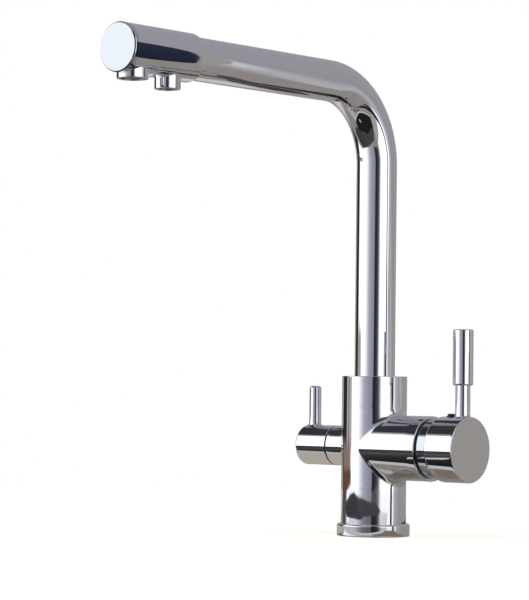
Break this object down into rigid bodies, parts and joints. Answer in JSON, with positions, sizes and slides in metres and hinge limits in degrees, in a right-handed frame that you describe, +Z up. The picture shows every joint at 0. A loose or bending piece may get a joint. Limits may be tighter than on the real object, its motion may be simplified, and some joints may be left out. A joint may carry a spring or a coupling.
{
  "type": "three way filtered water tap",
  "caption": "Kitchen mixer tap with a square-bent swivel spout, side mixer lever, separate filtered water valve and two outlets.",
  "frame": {"origin": "on the axis of the column, in the plane of the worktop that the base ring stands on", "axes": "+Z up along the column; the spout points to -Y at rest; the mixer lever is on the +X side and the filtered water valve on the -X side"},
  "size_m": [0.1431, 0.2835, 0.3737],
  "materials": {
    "chrome_plate": "bright chrome plate over polished brass",
    "bare_brass": "machined, unplated",
    "stainless_steel": "turned stainless steel",
    "black_rubber": "moulded matt",
    "black_plastic": "moulded satin",
    "white_plastic": "moulded satin",
    "grey_plastic": "moulded satin",
    "alumina_ceramic": "lapped alumina ceramic"
  },
  "bodies": {
    "tap": {"tap_body": "chrome_plate", "base_ring": "chrome_plate", "base_seal": "black_rubber", "mounting_shank": "bare_brass", "clamp_rubber_washer": "black_rubber", "clamp_steel_washer": "stainless_steel", "fixing_nut": "bare_brass", "spout_slide_ring": "black_plastic", "spout_retaining_screw": "stainless_steel", "filter_tube_seal": "black_rubber", "cartridge_gasket": "black_rubber", "cartridge_base": "white_plastic", "cartridge_fixed_disc": "alumina_ceramic", "cartridge_shell": "grey_plastic", "cartridge_retaining_nut": "bare_brass", "mixer_glide_ring": "black_plastic", "mixer_collar": "chrome_plate", "filter_valve_seal": "black_rubber", "filter_fixed_disc": "alumina_ceramic", "filter_valve_body": "bare_brass", "filter_glide_ring": "black_plastic"},
    "spout": {"spout_tube": "chrome_plate", "spout_spigot": "bare_brass", "spigot_o_ring_1": "black_rubber", "spigot_o_ring_2": "black_rubber", "spout_head": "chrome_plate", "spout_end_cap": "chrome_plate", "aerator_housing": "chrome_plate", "aerator_washer": "black_rubber", "aerator_insert": "grey_plastic", "filter_nozzle": "chrome_plate", "filter_nozzle_insert": "grey_plastic", "filter_inner_tube": "white_plastic"},
    "mixer_rotor": {"cartridge_rotor": "white_plastic", "cartridge_pivot_pin": "stainless_steel"},
    "mixer_lever": {"mixer_spindle": "stainless_steel", "mixer_hub": "chrome_plate", "mixer_index_plug": "black_plastic", "mixer_grub_screw": "stainless_steel", "mixer_lever_rod": "chrome_plate", "mixer_lever_grip": "chrome_plate"},
    "mixer_disc": {"cartridge_moving_disc": "alumina_ceramic", "cartridge_disc_carrier": "grey_plastic"},
    "filter_handle": {"filter_moving_disc": "alumina_ceramic", "filter_spindle": "bare_brass", "filter_hub": "chrome_plate", "filter_grub_screw": "stainless_steel", "filter_lever": "chrome_plate"}
  },
  "joints": [
    {"name": "spout_swivel", "type": "hinge", "parent": "tap", "child": "spout", "pos_m": [0, 0, 0.1], "axis": [0, 0, 1], "continuous": true},
    {"name": "mixer_temperature", "type": "hinge", "parent": "tap", "child": "mixer_rotor", "pos_m": [0.038, 0, 0.061], "axis": [1, 0, 0], "range_deg": [-45, 45]},
    {"name": "mixer_flow", "type": "hinge", "parent": "mixer_rotor", "child": "mixer_lever", "pos_m": [0.038, 0, 0.061], "axis": [0, 1, 0], "range_deg": [0, 25]},
    {"name": "mixer_disc_slide", "type": "slide", "parent": "mixer_rotor", "child": "mixer_disc", "axis": [0, 0, 1], "range_m": [0, 0.00365]},
    {"name": "filter_turn", "type": "hinge", "parent": "tap", "child": "filter_handle", "pos_m": [-0.033, 0, 0.0614], "axis": [1, 0, 0], "range_deg": [0, 90]}
  ],
  "couplings": [
    {"joint": "mixer_disc_slide", "follows": "mixer_flow", "m_per_rad": 0.0083}
  ]
}
